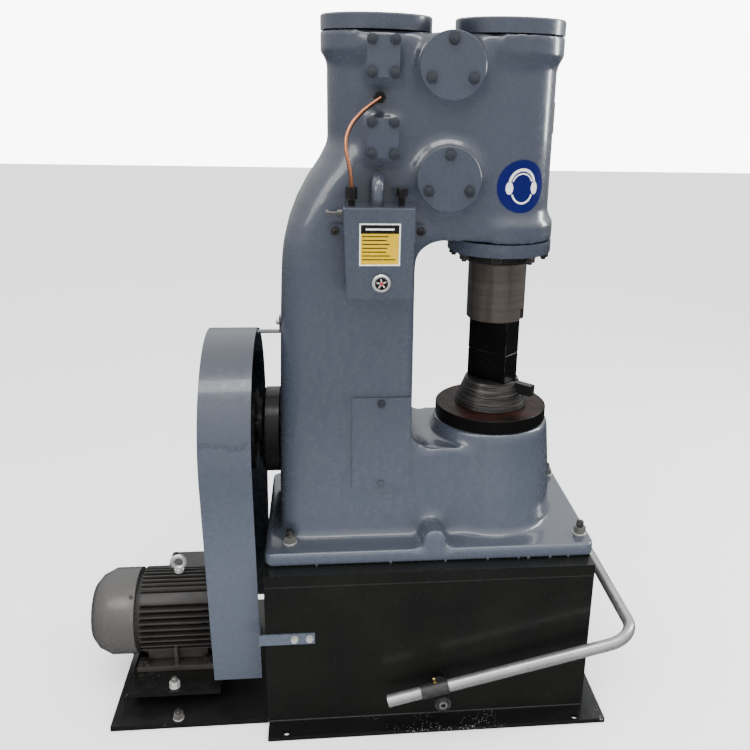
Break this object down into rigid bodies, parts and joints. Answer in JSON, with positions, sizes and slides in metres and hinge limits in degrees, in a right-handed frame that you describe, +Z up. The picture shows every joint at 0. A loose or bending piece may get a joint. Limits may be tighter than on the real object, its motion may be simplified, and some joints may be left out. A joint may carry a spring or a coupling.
{
  "type": "self-contained air power forging hammer with stand",
  "caption": "Twin-cylinder air power forging hammer: cast C-frame on a welded stand, with belt guard, electric motor and wrap-round foot treadle.",
  "frame": {"origin": "centre of the bounding box's base, on the floor", "axes": "+Z up, +X from the motor towards the ram and the treadle's front, +Y from the oil box's side to the far side"},
  "size_m": [1.2074, 0.62, 1.4725],
  "materials": {
    "stand_box": "gloss black enamel",
    "stand_base_flange": "gloss black enamel",
    "motor_floor_plate": "gloss black enamel",
    "motor_mounting_plate": "gloss black enamel",
    "frame_casting": "thick glossy blue-grey enamel over casting and plate",
    "compressor_cylinder_cover": "thick glossy blue-grey enamel over casting and plate",
    "ram_cylinder_cover": "thick glossy blue-grey enamel over casting and plate",
    "ram_cylinder_lower_cover": "thick glossy blue-grey enamel over casting and plate",
    "ram_gland": "black oiled iron",
    "upper_valve_cover": "thick glossy blue-grey enamel over casting and plate",
    "lower_valve_cover": "thick glossy blue-grey enamel over casting and plate",
    "upper_port_cover": "thick glossy blue-grey enamel over casting and plate",
    "lower_port_cover": "thick glossy blue-grey enamel over casting and plate",
    "upper_valve_cover_far": "thick glossy blue-grey enamel over casting and plate",
    "lower_valve_cover_far": "thick glossy blue-grey enamel over casting and plate",
    "upper_port_cover_far": "thick glossy blue-grey enamel over casting and plate",
    "lower_port_cover_far": "thick glossy blue-grey enamel over casting and plate",
    "column_access_cover": "thick glossy blue-grey enamel over casting and plate",
    "ram": "turned and ground steel, browned with oil",
    "upper_die_key": "black oiled iron",
    "upper_die": "black oiled iron",
    "anvil_cap": "black oiled iron",
    "lower_die_key": "black oiled iron",
    "lower_die": "black oiled iron",
    "oil_box": "thick glossy blue-grey enamel over casting and plate",
    "oil_sight_glass": "chromed ring",
    "oil_flow_screw": "bare drawn steel",
    "oil_pipe_lower_fitting": "black oiled iron",
    "oil_box_plug": "black oiled iron",
    "oil_filler_elbow": "thick glossy blue-grey enamel over casting and plate",
    "oil_pipe_upper_fitting": "black oiled iron",
    "oil_pipe": "bare copper, polished",
    "crankshaft_bearing_housing": "black oiled iron",
    "drive_pulley": "black oiled iron",
    "motor_pulley": "black oiled iron",
    "drive_belt_1": "black belt rubber",
    "drive_belt_2": "black belt rubber",
    "belt_guard": "thick glossy blue-grey enamel over casting and plate",
    "guard_lower_bracket": "thick glossy blue-grey enamel over casting and plate",
    "guard_upper_bracket": "thick glossy blue-grey enamel over casting and plate",
    "motor_body": "dark satin paint on cast iron",
    "motor_fan_cover": "dark grey satin paint on pressed steel",
    "motor_terminal_box": "dark satin paint on cast iron",
    "motor_eye_bolt": "bare drawn steel",
    "treadle_bar": "bare drawn steel",
    "treadle_clamp_near": "black oiled iron",
    "treadle_pivot_pin_near": "bare drawn steel",
    "treadle_clamp_far": "black oiled iron",
    "treadle_pivot_pin_far": "bare drawn steel"
  },
  "bodies": {
    "frame_body": {"stand_box": "stand_box", "stand_base_flange": "stand_base_flange", "motor_floor_plate": "motor_floor_plate", "motor_mounting_plate": "motor_mounting_plate", "frame_casting": "frame_casting", "compressor_cylinder_cover": "compressor_cylinder_cover", "ram_cylinder_cover": "ram_cylinder_cover", "ram_cylinder_lower_cover": "ram_cylinder_lower_cover", "ram_gland": "ram_gland", "upper_valve_cover": "upper_valve_cover", "lower_valve_cover": "lower_valve_cover", "upper_port_cover": "upper_port_cover", "lower_port_cover": "lower_port_cover", "upper_valve_cover_far": "upper_valve_cover_far", "lower_valve_cover_far": "lower_valve_cover_far", "upper_port_cover_far": "upper_port_cover_far", "lower_port_cover_far": "lower_port_cover_far", "column_access_cover": "column_access_cover", "anvil_cap": "anvil_cap", "lower_die_key": "lower_die_key", "lower_die": "lower_die", "oil_box": "oil_box", "oil_sight_glass": "oil_sight_glass", "oil_flow_screw": "oil_flow_screw", "oil_pipe_lower_fitting": "oil_pipe_lower_fitting", "oil_box_plug": "oil_box_plug", "oil_filler_elbow": "oil_filler_elbow", "oil_pipe_upper_fitting": "oil_pipe_upper_fitting", "oil_pipe": "oil_pipe", "crankshaft_bearing_housing": "crankshaft_bearing_housing", "drive_belt_1": "drive_belt_1", "drive_belt_2": "drive_belt_2", "belt_guard": "belt_guard", "guard_lower_bracket": "guard_lower_bracket", "guard_upper_bracket": "guard_upper_bracket", "motor_body": "motor_body", "motor_fan_cover": "motor_fan_cover", "motor_terminal_box": "motor_terminal_box", "motor_eye_bolt": "motor_eye_bolt", "treadle_pivot_pin_near": "treadle_pivot_pin_near", "treadle_pivot_pin_far": "treadle_pivot_pin_far"},
    "ram_body": {"ram": "ram", "upper_die": "upper_die", "upper_die_key": "upper_die_key"},
    "drive_pulley_body": {"drive_pulley": "drive_pulley"},
    "motor_pulley_body": {"motor_pulley": "motor_pulley"},
    "treadle_body": {"treadle_bar": "treadle_bar", "treadle_clamp_near": "treadle_clamp_near", "treadle_clamp_far": "treadle_clamp_far"}
  },
  "joints": [
    {"name": "ram_slide", "type": "slide", "parent": "frame_body", "child": "ram_body", "axis": [0, 0, 1], "range_m": [0, 0.19]},
    {"name": "drive_pulley_spin", "type": "hinge", "parent": "frame_body", "child": "drive_pulley_body", "pos_m": [-0.27625, 0, 0.606], "axis": [1, 0, 0], "continuous": true},
    {"name": "motor_pulley_spin", "type": "hinge", "parent": "frame_body", "child": "motor_pulley_body", "pos_m": [-0.27625, 0, 0.15], "axis": [1, 0, 0], "continuous": true},
    {"name": "treadle_pivot", "type": "hinge", "parent": "frame_body", "child": "treadle_body", "pos_m": [0.17275, 0, 0.0945], "axis": [0, 1, 0], "range_deg": [0, 12], "stiffness_Nm_per_rad": 60, "springref_deg": -28.65}
  ],
  "couplings": [
    {"joint": "motor_pulley_spin", "follows": "drive_pulley_spin", "ratio": 5}
  ]
}
